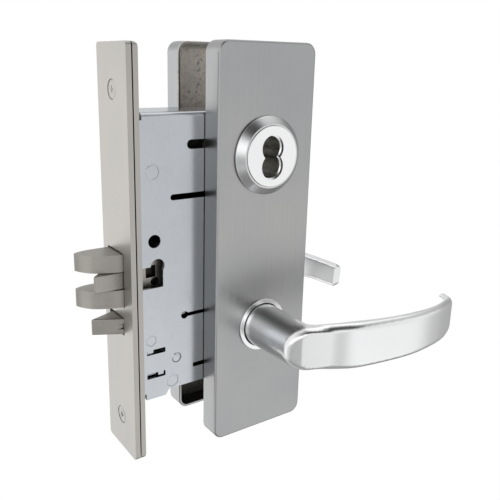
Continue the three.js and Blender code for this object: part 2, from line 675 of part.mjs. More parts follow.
function lever(tip, side, droop) {
  const bevel = { bevelEnabled: true, bevelSize: 1.6, bevelThickness: 2.4, bevelSegments: 2,
    bevelOffset: -1.6 };
  const flank = GRIP_HALF_HEIGHT - bevel.bevelThickness;
  const band = alongZ(gripPlan(tip), -flank, flank, bevel);
  const elevation = polygon([...GRIP_SIDE, ...GRIP_SIDE.map(([u, h]) => [u, -h]).reverse()].reverse());
  const grip = band.intersect(alongY(elevation, 20, 90));
  const neck = join(
    rodY(0, 0, 17, 34, NECK_RADIUS, ROUND),
    rodY(0, 0, 34, 50, NECK_RADIUS, ROUND, NECK_RADIUS_FAR),
    rodY(0, 0, 50, 66, NECK_RADIUS_FAR, ROUND),
  ).intersect(alongZ(behindGripFront(), -GRIP_HALF_HEIGHT, GRIP_HALF_HEIGHT));
  const half = SPINDLE / 2 + GAP;
  const socket = box(-half, half, 10, 46, -half, half);
  const screwHole = rodZ(0, 34, -16, -half + 0.1, 2.2 + GAP, 12);
  const whole = cut(join(grip, neck), socket, screwHole);
  return onLeverAxis(side < 0 ? whole.mirror([0, 1, 0]) : whole, droop);
}

function leverSetScrew(side, droop) {
  return onLeverAxis(rodZ(0, side * 34, -10.2, -SPINDLE / 2 - GAP, 2.2, 12), droop);
}

function spindle(side, droop) {
  const half = SPINDLE / 2;
  const [y0, y1] = side < 0 ? [-45, -3.8] : [3.8, 45];
  return onLeverAxis(box(-half, half, y0, y1, -half, half), droop);
}

// ---- assembly -----------------------------------------------------------------------

place('front_plate', frontPlate(), SATIN_NICKEL);
place('inner_front', innerFront(), SATIN_NICKEL);
place('front_screw_top', countersunkScrew(0, FRONT_SCREW_Z[0], 0.1, 7), SATIN_NICKEL);
place('front_screw_bottom', countersunkScrew(0, FRONT_SCREW_Z[1], 0.1, 7), SATIN_NICKEL);

place('case_body', caseBody(), ZINC);
place('case_cover', caseCover(), ZINC);
place('case_screw_top', caseScrew(CASE_SCREW_Z), STEEL);
place('case_screw_bottom', caseScrew(-CASE_SCREW_Z), STEEL);
POSTS.forEach((post) => place(post.name, casePost(post), ZINC));
place('lower_bracket', lowerBracket(), ZINC);
place('latch_guide', crossWall(50.4, 52.6, -15, -1, TAIL_RADIUS + 0.4), ZINC);
place('aux_spring_stop', crossWall(50.4, 52.4, -38, -26.5), ZINC);

place('latch_head', latchHead(), CAST_BOLT);
place('latch_tail', latchTail(), STEEL);
place('latch_spring', coilSleeve(0, LATCH_Z, LATCH_BACK + GAP, 50.1, 3.6, 6), SPRING_STEEL);
place('antifriction_tongue', antifrictionTongue(), CAST_BOLT);
place('antifriction_pin', antifrictionPin(), STEEL);

place('aux_latch', auxLatch(), CAST_BOLT);
place('aux_spring', coilSleeve(0.5, AUX_Z, AUX_TAIL_END + GAP, 50.1, 2, 3.4), SPRING_STEEL);
place('deadlock_lever', deadlockLever(), STEEL);
place('deadlock_pivot', deadlockPivot(), STEEL);

place('outside_hub', hub(-1), STEEL);
place('inside_hub', hub(1, INSIDE_DROOP), STEEL);
place('retractor', retractor(), STEEL);
place('lock_slide', lockSlide(), STEEL);

place('outside_escutcheon', outsideEscutcheon(), SATIN_CHROME);
place('inside_escutcheon', insideEscutcheon(), SATIN_CHROME);
TRIM_POST_Z.forEach((z, i) => {
  place(['trim_post_upper', 'trim_post_lower'][i], trimPost(z), STEEL);
  place(['trim_screw_upper', 'trim_screw_lower'][i], trimScrew(z), SATIN_CHROME);
});

place('trim_ring', trimRing(), BRIGHT_CHROME);
place('cylinder_housing', cylinderHousing(), BRIGHT_CHROME);
place('cylinder_cam', cylinderCam(), STEEL);
place('cam_screw_left', camScrew(CAM_SCREW_X[0]), STEEL);
place('cam_screw_right', camScrew(CAM_SCREW_X[1]), STEEL);
place('cylinder_set_screw', cylinderSetScrew(), STEEL);

for (const [label, side, tip, droop] of [
  ['outside', -1, SHORT_TIP, 0],
  ['inside', 1, LONG_TIP, INSIDE_DROOP],
]) {
  place(`${label}_lever`, lever(tip, side, droop), BRIGHT_CHROME);
  place(`${label}_spindle`, spindle(side, droop), STEEL);
  place(`${label}_lever_set_screw`, leverSetScrew(side, droop), STEEL);
  place(`${label}_lever_bushing`, leverBushing(side), BRIGHT_CHROME);
  place(`${label}_return_spring`, returnSpring(side), SPRING_STEEL);
}

export default lock;
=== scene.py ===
import math

import bmesh
import bpy
import numpy as np
from mathutils import Matrix, Vector


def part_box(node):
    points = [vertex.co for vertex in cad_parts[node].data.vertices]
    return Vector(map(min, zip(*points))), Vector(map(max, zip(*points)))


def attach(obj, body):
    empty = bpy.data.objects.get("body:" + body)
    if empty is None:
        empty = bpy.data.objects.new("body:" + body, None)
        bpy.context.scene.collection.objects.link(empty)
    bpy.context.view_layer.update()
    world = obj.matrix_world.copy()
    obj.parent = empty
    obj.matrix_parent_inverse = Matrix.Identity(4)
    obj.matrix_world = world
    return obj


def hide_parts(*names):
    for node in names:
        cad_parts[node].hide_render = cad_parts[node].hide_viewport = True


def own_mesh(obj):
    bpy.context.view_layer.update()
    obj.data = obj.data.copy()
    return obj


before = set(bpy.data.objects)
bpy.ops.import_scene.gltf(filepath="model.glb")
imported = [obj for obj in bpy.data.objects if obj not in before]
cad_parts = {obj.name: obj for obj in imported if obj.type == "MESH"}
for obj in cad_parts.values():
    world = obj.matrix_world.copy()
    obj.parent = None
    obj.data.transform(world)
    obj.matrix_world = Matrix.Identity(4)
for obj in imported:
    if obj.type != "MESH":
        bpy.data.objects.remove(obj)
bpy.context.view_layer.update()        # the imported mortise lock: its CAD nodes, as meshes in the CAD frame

# Shapes are drawn in millimetres, in the frame of the CAD model, and scaled to metres at the end:
# +X runs into the door from the front's outer face, -Y is the outside of the door, +Z is up.
MM = 0.001
ROUND = 96               # segments of a full circle
CORNER_STEPS = 8         # segments of a rounded corner


# ---- sizes taken from the frame -----------------------------------------------------

def corners(node):
    """Lowest and highest corner of a CAD node, in millimetres."""
    low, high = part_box(node)
    return low / MM, high / MM


plate_high = corners("front_plate")[1]
inner_low, inner_high = corners("inner_front")
case_low, case_high = corners("case_body")
cover_low, cover_high = corners("case_cover")
trim_low, trim_high = corners("outside_escutcheon")
ring_low, ring_high = corners("trim_ring")
bush_low, bush_high = corners("outside_lever_bushing")

AXIS_X = (ring_low.x + ring_high.x) / 2
CYLINDER_Z = (ring_low.z + ring_high.z) / 2
LEVER_Z = (bush_low.z + bush_high.z) / 2
FRONT_HALF = plate_high.y
FRONT_END = plate_high.z
CASE_HALF = cover_high.y
CASE_TOP = cover_high.z
TRIM_FACE = -trim_low.y
TRIM_RIM = -trim_high.y


# ---- outlines -----------------------------------------------------------------------

def arc(a, b, radius, start, end, steps=CORNER_STEPS):
    """Points along an arc round (a, b); the angles are in degrees."""
    angles = np.radians(np.linspace(start, end, steps + 1))
    return [(a + radius * math.cos(t), b + radius * math.sin(t)) for t in angles]


def circle(a, b, radius, steps=ROUND):
    return arc(a, b, radius, 0, 360, steps)[:-1]


def rounded_rectangle(a0, a1, b0, b1, radius):
    return (arc(a1 - radius, b0 + radius, radius, -90, 0)
            + arc(a1 - radius, b1 - radius, radius, 0, 90)
            + arc(a0 + radius, b1 - radius, radius, 90, 180)
            + arc(a0 + radius, b0 + radius, radius, 180, 270))


def slot(a0, b0, a1, b1, width):
    """A straight slot with round ends, its end centres at the two points."""
    along = math.degrees(math.atan2(b1 - b0, a1 - a0))
    return (arc(a0, b0, width / 2, along + 90, along + 270, 2 * CORNER_STEPS)
            + arc(a1, b1, width / 2, along - 90, along + 90, 2 * CORNER_STEPS))


def spline(points, steps):
    """A smooth curve through the points."""
    p = np.array([points[0], *points, points[-1]], float)
    t = np.linspace(0, 1, steps, endpoint=False)[:, None]
    pieces = []
    for p0, p1, p2, p3 in zip(p, p[1:], p[2:], p[3:]):
        pieces.append(p1 + 0.5 * t * (p2 - p0)
                      + t ** 2 * (p0 - 2.5 * p1 + 2 * p2 - 0.5 * p3)
                      + t ** 3 * (-0.5 * p0 + 1.5 * p1 - 1.5 * p2 + 0.5 * p3))
    return [tuple(q) for q in np.vstack([*pieces, p[-1:]])]


# ---- solids -------------------------------------------------------------------------

def point(axis, a, b, along):
    """Two coordinates across an axis and one along it, as x, y, z."""
    return {"x": (along, a, b), "y": (a, along, b), "z": (a, b, along)}[axis]


def loft(loops, closed=False):
    """A closed solid through loops of equally many points."""
    mesh = bmesh.new()
    rings = [[mesh.verts.new(p) for p in loop] for loop in loops]
    pairs = list(zip(rings, rings[1:]))
    if closed:
        pairs.append((rings[-1], rings[0]))
    for near, far in pairs:
        count = len(near)
        for i in range(count):
            j = (i + 1) % count
            mesh.faces.new((near[i], near[j], far[j], far[i]))
    if not closed:
        mesh.faces.new(rings[0])
        mesh.faces.new(rings[-1])
    bmesh.ops.recalc_face_normals(mesh, faces=mesh.faces)
    return mesh


def prism(outline, axis, start, end):
    return loft([[point(axis, a, b, along) for a, b in outline] for along in (start, end)])


def box(x0, x1, y0, y1, z0, z1):
    return prism([(x0, y0), (x1, y0), (x1, y1), (x0, y1)], "z", z0, z1)


def turned(axis, a, b, profile, hollow=False, steps=ROUND):
    """A body turned about an axis through (a, b), from (radius, distance along) points."""
    loops = [[point(axis, *p, along) for p in circle(a, b, radius, steps)]
             for radius, along in profile]
    return loft(loops, closed=hollow)


def rod(axis, a, b, start, end, radius, steps=ROUND):
    return turned(axis, a, b, [(radius, start), (radius, end)], steps=steps)


def plain_object(name, mesh):
    data = bpy.data.meshes.new(name)
    mesh.to_mesh(data)
    mesh.free()
    data.shade_smooth()
    piece = bpy.data.objects.new(name, data)
    bpy.context.scene.collection.objects.link(piece)
    return piece


SHARP = math.radians(32)


def shaped(name, base, cutters=(), edge=0.0, segments=3):
    """The object that is left of base after the cutters, with its edges rounded by edge."""
    body = plain_object(name, base)
    tools = [plain_object("cutter", cutter) for cutter in cutters]
    for tool in tools:
        cut = body.modifiers.new("cut", "BOOLEAN")
        cut.operation = "DIFFERENCE"
        cut.solver = "EXACT"
        cut.object = tool
    if edge:
        rounding = body.modifiers.new("edge", "BEVEL")
        rounding.width = edge
        rounding.segments = segments
        rounding.limit_method = "ANGLE"
        rounding.angle_limit = SHARP
        rounding.use_clamp_overlap = True
    view = bpy.context.evaluated_depsgraph_get()
    data = bpy.data.meshes.new_from_object(body.evaluated_get(view))
    for spare in [body, *tools]:
        bpy.data.objects.remove(spare)
    return fine_object(name, data)


def fine_object(name, data):
    """Scales a finished mesh to metres, and shades it smooth except at sharp edges."""
    data.name = name
    data.transform(Matrix.Scale(MM, 4))
    data.materials.clear()
    data.shade_smooth()
    data.set_sharp_from_angle(angle=SHARP)
    piece = bpy.data.objects.new(name, data)
    bpy.context.scene.collection.objects.link(piece)
    normals = piece.modifiers.new("normals", "WEIGHTED_NORMAL")
    normals.keep_sharp = True
    normals.weight = 80
    return piece


# ---- materials ----------------------------------------------------------------------

def node(tree, kind, inputs=None, **settings):
    made = tree.nodes.new(kind)
    for key, value in settings.items():
        setattr(made, key, value)
    for key, value in (inputs or {}).items():
        if isinstance(value, bpy.types.NodeSocket):
            tree.links.new(value, made.inputs[key])
        else:
            made.inputs[key].default_value = value
    return made


def noise(tree, place, scale, detail=3.0, stretch=(1, 1, 1)):
    """Fractal noise of the place on the object, in cycles per metre, stretched by axis."""
    mapped = node(tree, "ShaderNodeMapping", {"Vector": place, "Scale": stretch})
    sockets = {"Vector": mapped.outputs[0], "Scale": scale, "Detail": detail}
    return node(tree, "ShaderNodeTexNoise", sockets).outputs["Fac"]


def spread(tree, value, low, high, low_at=0.3, high_at=0.7):
    """Maps a noise value to the range low..high."""
    sockets = {"Value": value, "From Min": low_at, "From Max": high_at, "To Min": low, "To Max": high}
    return node(tree, "ShaderNodeMapRange", sockets).outputs[0]


def shaded(tree, colour, amount):
    """The colour times an amount that varies round 1."""
    return node(tree, "ShaderNodeVectorMath", {0: colour, 1: amount}, operation="MULTIPLY").outputs[0]


PIT_SCALE = 420
PIT_RANGE = (0.3, 0.42)         # the part of the noise that makes a pit


def metal(name, colour, tint, roughness, grain=(1, 1, 1), grain_scale=900, grain_depth=0.00002,
          blotch_scale=22, variation=0.06, rough_variation=0.05, pits=0.0, painted_shade_heights=None):
    """A metal: two close colours in soft blotches, a grain in bump, roughness and shade, and pits.

    The height fade is painted shade: two heights in metres and the share of the colour that is left at the
    lower one.
    """
    made = bpy.data.materials.new(name)
    made.use_nodes = True
    tree = made.node_tree
    shader = tree.nodes["Principled BSDF"]
    place = node(tree, "ShaderNodeTexCoord").outputs["Object"]
    blotch = noise(tree, place, blotch_scale, 4.0)
    fibre = noise(tree, place, grain_scale, 3.0, grain)
    sockets = {"Factor": spread(tree, blotch, 0, 1), 6: (*colour, 1), 7: (*tint, 1)}
    mixed = node(tree, "ShaderNodeMix", sockets, data_type="RGBA")
    shade = spread(tree, fibre, 1 - variation, 1 + variation)
    base = shaded(tree, mixed.outputs[2], shade)
    if pits:
        spots = noise(tree, place, PIT_SCALE, 2.0)
        base = shaded(tree, base, spread(tree, spots, 1 - pits, 1, *PIT_RANGE))
    # painted shade: the colour darkens from the higher height down to the lower one
    if painted_shade_heights:
        low_z, high_z, darkest = painted_shade_heights
        height = node(tree, "ShaderNodeSeparateXYZ", {"Vector": place}).outputs["Z"]
        base = shaded(tree, base, spread(tree, height, darkest, 1, low_z, high_z))
    tree.links.new(base, shader.inputs["Base Color"])
    rough = spread(tree, fibre, roughness - rough_variation, roughness + rough_variation)
    tree.links.new(rough, shader.inputs["Roughness"])
    bump = node(tree, "ShaderNodeBump", {"Height": fibre, "Strength": 1.0, "Distance": grain_depth})
    tree.links.new(bump.outputs[0], shader.inputs["Normal"])
    shader.inputs["Metallic"].default_value = 1.0
    return made


# Grain: how the noise is stretched along X, Y and Z.
UPRIGHT = (1, 1, 0.02)          # drawn out along Z, as brushing leaves it
LENGTHWISE = (0.03, 1, 1)       # drawn out along X
BORED = (0.1, 0.1, 1)           # drawn out along X and Y
EVEN = (1, 1, 1)

# Each metal: two colours, roughness, grain, its scale and depth, blotches, and how much they vary.
satin_nickel = metal("satin_nickel", (0.47, 0.45, 0.422), (0.435, 0.425, 0.405), 0.38,
                     UPRIGHT, 1500, 0.000006, 18, 0.02)
cast_bolt = metal("cast_bolt", (0.43, 0.41, 0.378), (0.37, 0.355, 0.33), 0.42,
                  EVEN, 1300, 0.00002, 60, 0.06)
zinc_plate = metal("zinc_plate", (0.54, 0.56, 0.59), (0.49, 0.515, 0.545), 0.22,
                   EVEN, 500, 0.0000025, 26, 0.012, 0.015, pits=0.03)
satin_chrome = metal("satin_chrome", (0.375, 0.38, 0.39), (0.43, 0.432, 0.425), 0.34,
                     UPRIGHT, 900, 0.000003, 16, 0.035)
# The escutcheons' raw insides, with painted shade. The one that shows is painted darker towards its lower
# end, where shade falls.
raw_cast_with_painted_shade = metal("raw_cast_with_painted_shade", (0.95, 0.895, 0.825), (0.80, 0.755, 0.70), 0.6,
                 EVEN, 700, 0.0001, 70, 0.10, pits=0.4, painted_shade_heights=(-0.08, -0.02, 0.12))
# A darker copy of the raw inside: painted shade for the outside escutcheon's inside.
painted_shade_cast = metal("painted_shade_cast", (0.30, 0.28, 0.25), (0.22, 0.205, 0.185), 0.6,
                    EVEN, 700, 0.0001, 70, 0.10, pits=0.4)
# Near-black painted shadow for the recesses in the latch head's side.
recess_shadow = metal("recess_shadow", (0.085, 0.08, 0.072), (0.06, 0.056, 0.05), 0.5,
                      EVEN, 900, 0.00003, 60, 0.10)
bright_chrome = metal("bright_chrome", (0.86, 0.865, 0.87), (0.84, 0.845, 0.85), 0.24,
                      LENGTHWISE, 1600, 0.000003, 20, 0.015, 0.03)
ring_chrome = metal("ring_chrome", (0.66, 0.665, 0.67), (0.63, 0.635, 0.64), 0.22,
                    EVEN, 1500, 0.000002, 30, 0.015, 0.02)
turned_chrome = metal("turned_chrome", (0.93, 0.935, 0.94), (0.91, 0.915, 0.92), 0.22,
                      EVEN, 1500, 0.000002, 30, 0.015, 0.02)
bore_metal = metal("bore_metal", (0.68, 0.675, 0.65), (0.42, 0.41, 0.39), 0.3,
                   BORED, 900, 0.00002, 60, 0.10)
dull_steel = metal("dull_steel", (0.34, 0.335, 0.33), (0.27, 0.265, 0.26), 0.42,
                   EVEN, 900, 0.00002, 50, 0.08)
spring_wire = metal("spring_wire", (0.24, 0.24, 0.245), (0.18, 0.18, 0.185), 0.32,
                    EVEN, 1200, 0.00001, 60, 0.06)


def show(piece, body, slot_name, material, *nodes):
    """Gives a finished piece its material and its body, and lets it stand for CAD nodes by hiding them.
    slot_name is not used.
    """
    piece.data.materials.append(material)
    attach(piece, body)
    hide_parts(*nodes)
    return piece


# ---- front --------------------------------------------------------------------------

FRONT_CORNER = 1.8
FRONT_EDGE = 0.35
SCREW_Z = {"top": 81, "bottom": -83}
DOOR_SCREW_Z = 94.5
SCREW_HEAD = 4.4
SCREW_HOLE = 2.7
CASE_SCREW_Z = 64
CLAMP_Y = -6                   # the cylinder's clamp screw
LATCH_WINDOW = (-7.6, 10.4, -21.8, 5.8)
AUX_WINDOW = (-6.2, 10.6, -36.6, -27.3)


def front_windows(x0, x1, margin=0.0):
    sizes = [(y0 - margin, y1 + margin, z0 - margin, z1 + margin)
             for y0, y1, z0, z1 in (LATCH_WINDOW, AUX_WINDOW)]
    return [prism(rounded_rectangle(*size, 0.5), "x", x0, x1) for size in sizes]


def front_plate():
    outline = rounded_rectangle(-FRONT_HALF, FRONT_HALF, -FRONT_END, FRONT_END, FRONT_CORNER)
    plate = prism(outline, "x", 0, plate_high.x)
    head = SCREW_HEAD + 0.2
    sink = [(head, -1), (head, 0.3), (SCREW_HOLE, 2.7), (SCREW_HOLE, 4)]
    sinks = [turned("x", 0, z, sink) for z in SCREW_Z.values()]
    piece = shaped("front_plate_fine", plate, front_windows(-1, 4) + sinks, FRONT_EDGE)
    return show(piece, "lock_case", "front_satin", satin_nickel, "front_plate")


def inner_front():
    outline = rounded_rectangle(-FRONT_HALF, FRONT_HALF, -FRONT_END, FRONT_END, FRONT_CORNER)
    plate = prism(outline, "x", inner_low.x, inner_high.x)
    ends = []
    thick = inner_high.x - inner_low.x
    start = inner_low.x + 0.4
    for sign in (1, -1):
        curve = [(start + (inner_high.x - start) * math.sin(t), FRONT_END - thick * (1 - math.cos(t)))
                 for t in np.linspace(0, math.pi / 2, 9)]
        outside = [(inner_high.x + 1, FRONT_END - thick), (inner_high.x + 1, FRONT_END + 1),
                   (start, FRONT_END + 1)]
        ends.append(prism([(x, sign * z) for x, z in curve + outside], "y", -FRONT_HALF - 1, FRONT_HALF + 1))
    holes = [rod("x", 0, sign * z, 2, 8, radius) for sign in (1, -1)
             for z, radius in ((DOOR_SCREW_Z, 2.6), (CASE_SCREW_Z, 3.3))]
    holes += [rod("x", 0, z, 2, 8, SCREW_HOLE) for z in SCREW_Z.values()]
    clamp_hole = rod("x", CLAMP_Y, CYLINDER_Z, 2, 8, 3.3)
    piece = shaped("inner_front_fine", plate, front_windows(2, 8, 0.4) + ends + holes + [clamp_hole], 0.3)
    return show(piece, "lock_case", "front_satin", satin_nickel, "inner_front")


def cross_recess(axis, a, b, face, depth, reach, width):
    """Two tapered wings that cut the driver's cross into a screw head."""
    wings = []
    for along, across in ((reach, width), (width, reach)):
        loops = []
        for share, distance in ((1.15, face - math.copysign(0.3, depth)), (0.35, face + depth)):
            da = along * share / 2 if along > across else along / 2
            db = across * share / 2 if across > along else across / 2
            corners_2d = [(a - da, b - db), (a + da, b - db), (a + da, b + db), (a - da, b + db)]
            loops.append([point(axis, *p, distance) for p in corners_2d])
        wings.append(loft(loops))
    return wings


def front_screw(label, z):
    profile = [(0.6, 0.1), (2.6, 0.11), (4.1, 0.14), (SCREW_HEAD, 0.3), (2.4, 2.5), (2.4, 7.1)]
    body = turned("x", 0, z, profile)
    piece = shaped(f"front_screw_{label}_fine", body, cross_recess("x", 0, z, 0.1, 1.5, 3.2, 0.8), 0.08, 2)
    return show(piece, "lock_case", "front_satin", satin_nickel, f"front_screw_{label}")


# ---- case ---------------------------------------------------------------------------

WALL = 1.6
FOLD = 2.6                     # outer radius of the case's folded top and back edges
STEP = 2.9
STEP_FROM, STEP_TO = 19, 21
CASE_FRONT = case_low.x
CASE_BACK = case_high.x


def case_outline(inset):
    top = CASE_TOP - inset
    return [(CASE_FRONT + inset, -top), (STEP_FROM - inset / 2, -top), (STEP_TO - inset / 2, -top + STEP),
            (CASE_BACK - inset, -top + STEP), (CASE_BACK - inset, top), (CASE_FRONT + inset, top)]


def folded(mesh, y, radius):
    """Rounds the top and back edges of the wall at y."""
    def on_fold(edge):
        ends = [v.co for v in edge.verts]
        at_wall = all(abs(c.y - y) < 0.01 for c in ends)
        top = max(v.co.z for v in mesh.verts)
        back = max(v.co.x for v in mesh.verts)
        return at_wall and (all(c.z > top - 0.01 for c in ends) or all(c.x > back - 0.01 for c in ends))
    edges = [edge for edge in mesh.edges if on_fold(edge)]
    bmesh.ops.bevel(mesh, geom=edges, offset=radius, segments=6, profile=0.5, affect="EDGES")
    return mesh


WALL_REACH = (-CASE_HALF - 1, -CASE_HALF + WALL + 0.1)
# Heads of the posts that show in the wall: x, z, size across, sides.
POSTS = {
    "case_post_front_top": (13.2, 44.3, 3.5, 8),
    "case_post_front_middle": (11.3, -39.6, 2.9, 6),
    "case_post_front_bottom": (23, -64.3, 3.5, 6),
    "case_rivet": (25.4, -52.1, 2.6, 48),
    "case_post_rear_top": (100, 62, 3.5, 8),
    "case_post_rear_bottom": (100, -60, 3.5, 8),
}
TRIM_POSTS = {"upper": 12, "lower": -61}
HEAD_GAP = 0.1                 # fine joint round each staked head


def wall_cutters():
    """The holes, slots and windows in the outside wall of the case."""
    outlines = [
        circle(13.8, 11.1, 3.25),
        rounded_rectangle(CASE_FRONT - 1, 18.2, -12.3, -1.4, 0.4),
        circle(15.3, -1.5, 3.7),
        slot(33.9, 56, 42, 56, 4.5),
        slot(42, 56, 50, 53.6, 4.5),
        slot(24, 31.4, 58, 31.4, 2.9),
        circle(30.1, -29.8, 2),
        slot(30.1, -29.8, 52, -29.8, 2),
        rounded_rectangle(8.8, 19, -47.2, -44.6, 0.4),
        rounded_rectangle(8.7, 18.9, -60.2, -57.3, 0.4),
        rounded_rectangle(35, 58, -60, -57.6, 0.4),
    ]
    return [prism(outline, "y", *WALL_REACH) for outline in outlines]


def head_outline(x, z, radius, sides):
    """A head's outline, with a corner straight up, as the CAD posts have."""
    return [(x + radius * math.sin(t), z + radius * math.cos(t))
            for t in np.linspace(0, 2 * math.pi, sides, endpoint=False)]


def shared_bores(y0, y1):
    """Bores through both walls of the case: cylinder, hub and the two through-bolts."""
    bores = [(CYLINDER_Z, 15), (LEVER_Z, 11.5), *[(z, 4.6) for z in TRIM_POSTS.values()]]
    return [rod("y", AXIS_X, z, y0, y1, radius) for z, radius in bores]


def case_body():
    outside = folded(prism(case_outline(0), "y", -CASE_HALF, cover_low.y - 0.3), -CASE_HALF, FOLD)
    inside = folded(prism(case_outline(WALL), "y", -CASE_HALF + WALL, CASE_HALF + 1),
                    -CASE_HALF + WALL, FOLD - WALL)
    heads = [prism(head_outline(x, z, radius + HEAD_GAP, sides), "y", *WALL_REACH)
             for x, z, radius, sides in POSTS.values()]
    screws = [rod("x", y, z, 5, 10, 2.2)
              for y, z in ((0, CASE_SCREW_Z), (0, -CASE_SCREW_Z), (CLAMP_Y, CYLINDER_Z))]
    notches = [box(CASE_FRONT - 1, CASE_FRONT + 2.2, -CASE_HALF - 1, -8.5, z - 3.4, z + 3.4)
               for z in (CASE_TOP, -CASE_TOP)]
    windows = front_windows(CASE_FRONT - 1, CASE_FRONT + WALL + 0.1, 0.4)
    cutters = [inside, *wall_cutters(), *heads, *windows, *screws, *notches, *shared_bores(*WALL_REACH)]
    piece = shaped("case_body_fine", outside, cutters, 0.18, 2)
    return show(piece, "lock_case", "case_zinc", zinc_plate, "case_body")


def case_tab():
    """The tab that stands up from the case's top behind the front."""
    tab = box(CASE_FRONT, CASE_FRONT + 3.4, 5, 11, CASE_TOP - 0.4, case_high.z)
    piece = shaped("case_tab", tab, (), 0.5)
    return show(piece, "lock_case", "case_zinc", zinc_plate)


def case_cover():
    plate = prism(case_outline(0), "y", cover_low.y, cover_high.y)
    reach = (cover_low.y - 1, cover_high.y + 1)
    holes = [rod("y", x, z, *reach, radius * 0.62 + 0.3) for x, z, radius, _ in POSTS.values()]
    piece = shaped("case_cover_fine", plate, [*shared_bores(*reach), *holes], 0.25, 2)
    return show(piece, "lock_case", "case_zinc", zinc_plate, "case_cover")


def post(name):
    x, z, radius, sides = POSTS[name]
    inner = -CASE_HALF + WALL - 0.2
    dome = 0.35 if name == "case_rivet" else 0.0
    head = [(radius * share, -CASE_HALF - dome * (1 - share ** 2)) for share in (0.2, 0.5, 0.75, 0.92)]
    profile = head + [(radius, -CASE_HALF + 0.12), (radius, inner), (radius * 0.62, inner),
                      (radius * 0.62, CASE_HALF)]
    loops = [[point("y", *p, along) for p in head_outline(x, z, r, sides)] for r, along in profile]
    piece = shaped(f"{name}_fine", loft(loops), (), 0.0)
    return show(piece, "lock_case", "case_zinc", zinc_plate, name)


def lower_bracket():
    """The bracket behind the outside wall; its tabs stand in the wall's two short slots."""
    inner = -CASE_HALF + WALL + 0.3
    tab = -CASE_HALF + 0.8
    parts = [
        box(9.1, 18.6, inner, inner + 1.5, -56.9, -48.5),
        box(9.3, 12.8, tab, inner + 1.5, -49, -44.9),
        box(15.2, 18.4, tab, inner + 0.6, -59.6, -56.5),
        box(9.1, 14.6, inner + 0.2, inner + 0.8, -59.3, -58.7),
    ]
    for number, part in enumerate(parts):
        cutters = [box(9, 13, tab - 1, inner, -49.5, -46.7)] if number == 1 else ()
        piece = shaped(f"lower_bracket_{number}", part, cutters, 0.2)
        show(piece, "lock_case", "case_zinc", zinc_plate, *(["lower_bracket"] if number == 0 else []))


# ---- latches ------------------------------------------------------------------------

latch_low, latch_high = corners("latch_head")
tongue_low, tongue_high = corners("antifriction_tongue")
aux_high = corners("aux_latch")[1]
BOLT_EDGE = 0.5
TONGUE_PIN = (2, 3)
# Recesses in the latch head's side that show through the case's window: x, z.
SIDE_HOLE = (16.4, -11)
SIDE_HOLE_RADIUS = 2.2
SIDE_POCKET = (11.6, 16.9, -8.6, -2.5)


def latch_head():
    near = spline([(8, latch_low.y), (0, latch_low.y), (-7.2, -5.2), (-13.4, -2), (-17.2, 2.4),
                   (latch_low.x + 0.1, 6.3)], 6)
    far = spline([(latch_low.x + 0.4, 6.9), (-13.5, 8.7), (-5, latch_high.y),
                  (latch_high.x, latch_high.y)], 6)
    outline = [(latch_high.x, latch_low.y), *near, *far]
    block = prism(outline, "z", latch_low.z, latch_high.z)
    cutters = [
        box(-25, 8.4, -10, 12, tongue_low.z - 0.3, tongue_high.z + 0.3),
        rod("x", 0, -8, 17.5, 25, 3.3),
        rod("y", *SIDE_HOLE, latch_low.y - 1, latch_low.y + 4, SIDE_HOLE_RADIUS),
        box(*SIDE_POCKET[:2], latch_low.y - 1, latch_low.y + 3.6, *SIDE_POCKET[2:]),
        box(20.1, 25, latch_low.y - 1, latch_low.y + 2.6, latch_low.z - 1, latch_high.z + 1),
        rod("z", *TONGUE_PIN, latch_low.z + 2, latch_high.z - 2, 1.8),
    ]
    piece = shaped("latch_head_fine", block, cutters, BOLT_EDGE)
    show(piece, "latchbolt", "bolt_cast", cast_bolt, "latch_head")
    # The faces in the side hole and pocket get the near-black material: painted shadow in these recesses.
    piece.data.materials.append(recess_shadow)
    for face in piece.data.polygons:
        x, y, z = face.center / MM
        in_hole = math.hypot(x - SIDE_HOLE[0], z - SIDE_HOLE[1]) < SIDE_HOLE_RADIUS + 0.1
        x0, x1, z0, z1 = SIDE_POCKET
        in_pocket = x0 - 0.1 < x < x1 + 0.1 and z0 - 0.1 < z < z1 + 0.1
        if latch_low.y + 0.5 < y < latch_low.y + 4.2 and (in_hole or in_pocket):
            face.material_index = 1
    return piece


def antifriction_tongue():
    px, py = TONGUE_PIN
    outline = [(px, py - 9.7), *arc(px, py, 5, -20, 90), (-4.6, 4.1), (-14.6, -5.9), (-13.8, -6.4)]
    block = prism(outline, "z", tongue_low.z, tongue_high.z)
    hole = rod("z", px, py, tongue_low.z - 1, tongue_high.z + 1, 1.8)
    piece = shaped("antifriction_tongue_fine", block, [hole], BOLT_EDGE)
    return show(piece, "antifriction", "bolt_cast", cast_bolt, "antifriction_tongue")


def aux_latch():
    head = prism([(10, -5.6), (10, 7), (0, 7), (-1.7, 6.4), (-13.8, 1.5), (0, -5.6)], "z", -36, -27.8)
    piece = shaped("aux_latch_head", head, [box(-3.2, 3, -7, -4.3, -33.2, -30.8)], BOLT_EDGE)
    show(piece, "auxiliary_latch", "bolt_cast", cast_bolt, "aux_latch")
    tail = box(9.4, aux_high.x, -2.5, 3.5, -35, -29)
    return show(shaped("aux_latch_tail", tail, (), 0.4), "auxiliary_latch", "bolt_cast", cast_bolt)


# ---- escutcheons --------------------------------------------------------------------

TRIM_WALL = 1.6
TRIM_CORNER = 5.5
TRIM_EDGE = 1.1
INNER_CORNER = 2.2            # inner radius where the shell's face meets its sides


def trim_loop(inset, y):
    """The escutcheon's outline, drawn in by inset, at y."""
    radius = max(TRIM_CORNER - inset, 0.8)
    outline = rounded_rectangle(trim_low.x + inset, trim_high.x - inset,
                                trim_low.z + inset, trim_high.z - inset, radius)
    return [point("y", a, b, y) for a, b in outline]


